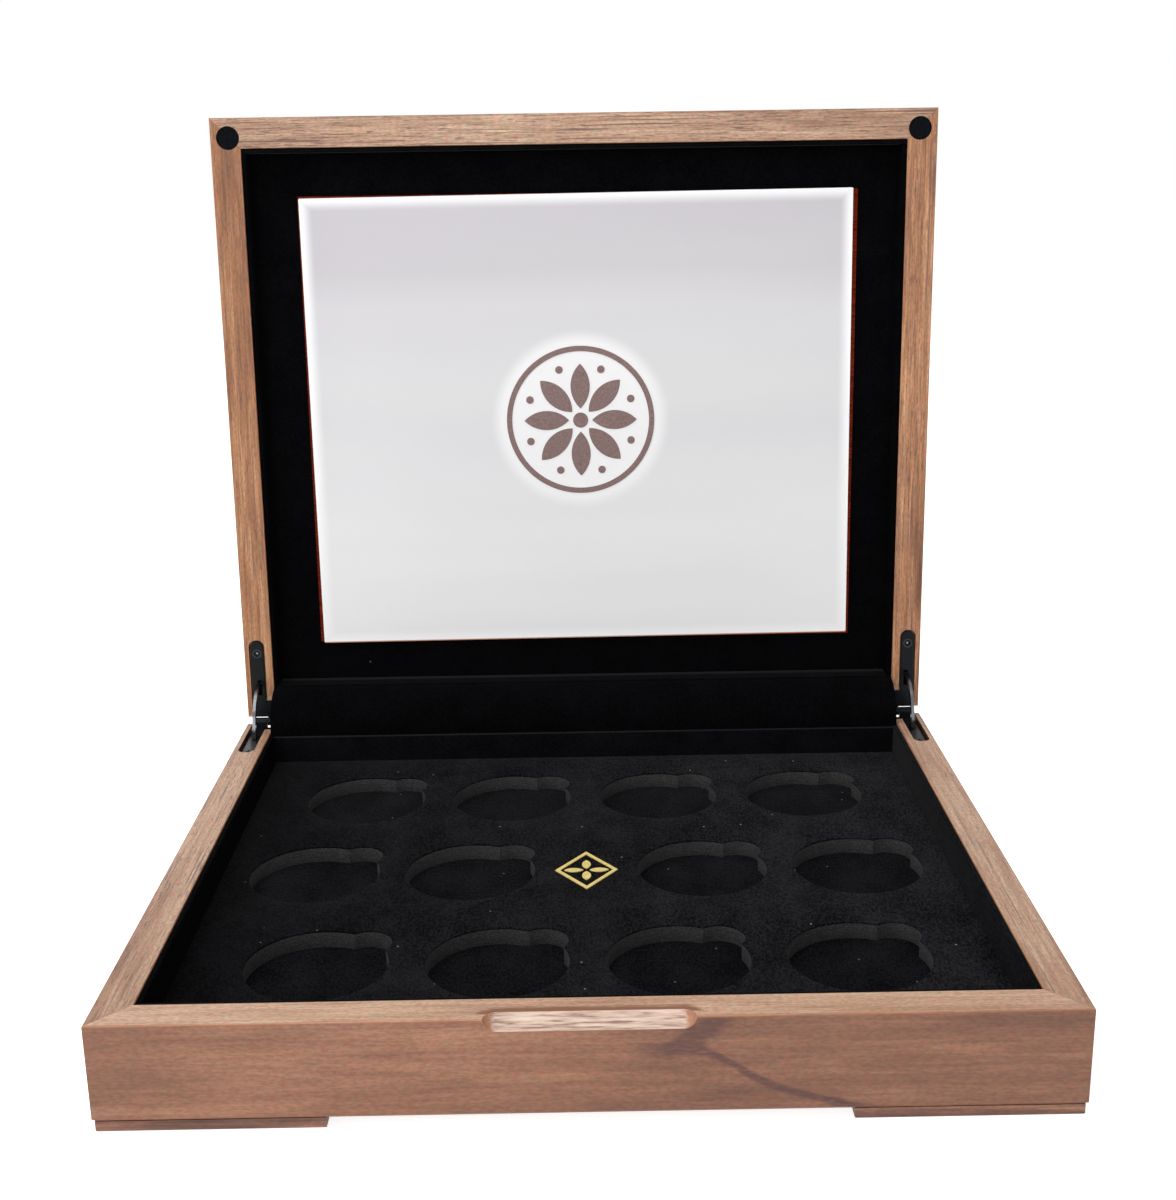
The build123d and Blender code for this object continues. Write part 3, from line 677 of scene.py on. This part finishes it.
# Hinges. L-shaped steel leaves with a satin black coat, let into the rims and held by countersunk
# cross-head screws. Behind the case their knuckles turn on a bare steel pin.
SCUFFS = ((0.0004, 0.0004, 0.0004), 3.0)
SCUFF_DEPTH = 0.00001
SIDE_SCREW = (HINGE_LEG_MIDDLE, 0.1028)
REAR_SCREW = (0.128, 0.1294)


def black_screw(name, rim, centre):
    """A screw's head: a paler ring round a recess with a painted highlight in its middle."""
    finish, tree, shader = new_finish(name)
    place = rim_place(tree, rim)
    right, rear, up = split(tree, place)
    sideways = minus(tree, unsigned(tree, right), centre[0])
    reach = length_of(tree, sideways, minus(tree, rear, centre[1]))
    ring = times(tree, fade(tree, reach, 0.0015, 0.0017), fade(tree, reach, 0.0022, 0.0019))
    scuffs = streaks(tree, place, *SCUFFS)
    coat = tones(tree, scuffs, (0.3, colour(3, 3, 4)), (0.7, colour(10, 10, 12)))
    coat = tint(tree, coat, colour(66, 68, 70), times(tree, ring, 0.7))
    # Painted highlight, a glint at the middle of the cross recess.
    coat = tint(tree, coat, colour(205, 207, 209), fade(tree, reach, 0.0006, 0.0003))
    tree.links.new(coat, shader.inputs["Base Color"])
    shader.inputs["Specular IOR Level"].default_value = 0.15
    shader.inputs["Roughness"].default_value = 0.35
    raise_grain(tree, shader, scuffs, SCUFF_DEPTH)
    return finish


coat_dark = (0.3, colour(12, 14, 16))
coat_pale = (0.7, colour(27, 30, 33))
leaf_coat = two_tone("black_leaf", SCUFFS, coat_dark, coat_pale, 0.22, SCUFF_DEPTH, shine=0.08)
for body, rim in (("base", BASE_RIM), ("lid", LID_RIM)):
    side_screw = black_screw(f"{body}_side_screw", rim, SIDE_SCREW)
    rear_screw = black_screw(f"{body}_rear_screw", rim, REAR_SCREW)
    for side in ("left", "right"):
        dress(leaf_coat, f"{body}_hinge_leaf_{side}")
        dress(side_screw, f"{body}_hinge_screw_{side}_side")
        dress(rear_screw, f"{body}_hinge_screw_{side}_rear")

# Hinge pins and stays. Bare steel: a pin through each hinge's knuckles, and a flat arc that slides
# in a slot through both leaves and stops the lid.
steel_dark = (0.3, colour(66, 68, 71))
steel_pale = (0.7, colour(120, 122, 125))
bare_steel = two_tone("bare_steel", SCUFFS, steel_dark, steel_pale, 0.2, SCUFF_DEPTH, metal=1.0)
dress(bare_steel, "hinge_pin_left", "hinge_pin_right", "stay_left", "stay_right")

# Hinge cover. A strip of the same velvet, folded round the rear rims from the base's rear lining up
# to the lid's, and glued along both long edges, where it laps on the linings. It is cut 284 by 27 mm.
BASE_LAP = math.radians(5.1)
LID_LAP = math.radians(0.9)
COVER_LENGTH = 0.2838
lining_low, lining_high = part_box("base_rear_lining")
cover_radius = hinge_axis.y - (lining_low.y + lining_high.y) / 2
cover_turn = BASE_LAP + lid_opening + LID_LAP
cover_y = hinge_axis.y - cover_radius * math.cos(BASE_LAP)
cover_z = hinge_axis.z - cover_radius * math.sin(BASE_LAP)
bpy.ops.object.select_all(action="DESELECT")
bpy.ops.mesh.primitive_plane_add(size=COVER_LENGTH, location=(0, 0, 0))
cover = bpy.context.object
cover.name = "hinge_cover_velvet"
bpy.ops.object.mode_set(mode="EDIT")
bpy.ops.mesh.select_mode(type="VERT")
bpy.ops.mesh.select_all(action="DESELECT")
bpy.ops.object.mode_set(mode="OBJECT")
for vertex in cover.data.vertices:
    vertex.select = vertex.co.y > 0
bpy.ops.object.mode_set(mode="EDIT")
bpy.ops.mesh.delete(type="VERT")
bpy.ops.mesh.select_all(action="SELECT")
bpy.ops.mesh.subdivide(number_cuts=119)
bpy.ops.transform.translate(value=(0, cover_y + COVER_LENGTH / 2, cover_z))
bpy.ops.mesh.spin(steps=20, angle=cover_turn, center=hinge_axis, axis=(1, 0, 0))
bpy.ops.mesh.select_all(action="SELECT")
bpy.ops.mesh.normals_make_consistent(inside=False)
bpy.ops.object.mode_set(mode="OBJECT")
folds = bpy.data.textures.new("cover_folds", "CLOUDS")
folds.noise_scale = 0.028
ripple = cover.modifiers.new("ripple", "DISPLACE")
ripple.texture = folds
ripple.strength = 0.0006
bpy.ops.object.modifier_apply(modifier="ripple")
pile = cover.modifiers.new("pile", "SOLIDIFY")
pile.thickness = 0.0008
pile.offset = 0
bpy.ops.object.modifier_apply(modifier="pile")
bpy.ops.object.shade_smooth_by_angle(angle=math.radians(50))
cover.data.materials.append(velvet("velvet_hinge_cover", colour(3, 3, 4), colour(9, 9, 11), 0.4, 0.005))
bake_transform(cover)
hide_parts("hinge_cover")


# Studio. A pale floor under a white surround, a large soft lamp above, one in front, and two weaker
# ones at the left and behind that open the shadows.
def seen_directly(tree):
    """One where the camera, or a gloss or glass, looks at the surface, nought for other light."""
    rays = add_node(tree, "ShaderNodeLightPath").outputs
    mirrored = maths(tree, "MAXIMUM", rays["Is Glossy Ray"], rays["Is Transmission Ray"])
    return maths(tree, "MAXIMUM", rays["Is Camera Ray"], mirrored)


FLOOR_GLOW = 0.75
SURROUND_STRENGTH = 0.34
bpy.ops.object.select_all(action="DESELECT")
bpy.ops.mesh.primitive_plane_add(size=8.0, location=(0, 2.0, 0))
floor = bpy.context.object
floor.name = "studio_floor"
floor_finish, floor_tree, floor_shader = new_finish("studio_floor")
floor_shader.inputs["Base Color"].default_value = (0.9, 0.9, 0.9, 1.0)
floor_shader.inputs["Roughness"].default_value = 0.9
floor_glow = times(floor_tree, seen_directly(floor_tree), FLOOR_GLOW)
floor_tree.links.new(floor_glow, floor_shader.inputs["Emission Strength"])
floor_shader.inputs["Emission Color"].default_value = WHITE
floor.data.materials.append(floor_finish)

world = bpy.data.worlds.new("studio")
bpy.context.scene.world = world
world.use_nodes = True
sky = world.node_tree
lit_by, seen_as = [
    add_node(sky, "ShaderNodeBackground", {"Color": WHITE, "Strength": strength}).outputs[0]
    for strength in (SURROUND_STRENGTH, 1.0)
]
both = add_node(sky, "ShaderNodeMixShader", {0: seen_directly(sky), 1: lit_by, 2: seen_as}).outputs[0]
sky.links.new(both, sky.nodes["World Output"].inputs["Surface"])


def soft_lamp(name, place, size, power):
    """A square lamp that points at the middle of the case."""
    lamp = bpy.data.lights.new(name, "AREA")
    lamp.energy = power
    lamp.size = size
    holder = bpy.data.objects.new(name, lamp)
    holder.location = place
    holder.rotation_euler = (Vector((0, 0, 0.1)) - Vector(place)).to_track_quat("-Z", "Y").to_euler()
    bpy.context.scene.collection.objects.link(holder)


soft_lamp("lamp_above", (-0.35, -0.35, 1.45), 1.2, 12.0)
soft_lamp("lamp_front", (-0.1, -1.6, 0.5), 1.1, 10.5)
soft_lamp("lamp_left", (-1.5, -0.5, 0.65), 0.8, 6.0)
soft_lamp("lamp_behind", (-0.3, 1.8, 0.9), 1.2, 6.0)

# Camera. It stands a little under half a metre in front of the case, nearly as high as the open
# lid's top, and looks down into the tray.
view = bpy.data.cameras.new("camera")
view.lens = 48.988
view.sensor_width = 36.0
camera = bpy.data.objects.new("camera", view)
camera.location = (-0.00082, -0.57724, 0.29683)
camera.rotation_euler = (math.radians(74.065), math.radians(0.8205), math.radians(-0.5266))
bpy.context.scene.collection.objects.link(camera)
bpy.context.scene.camera = camera
bpy.context.scene.view_settings.view_transform = "Standard"
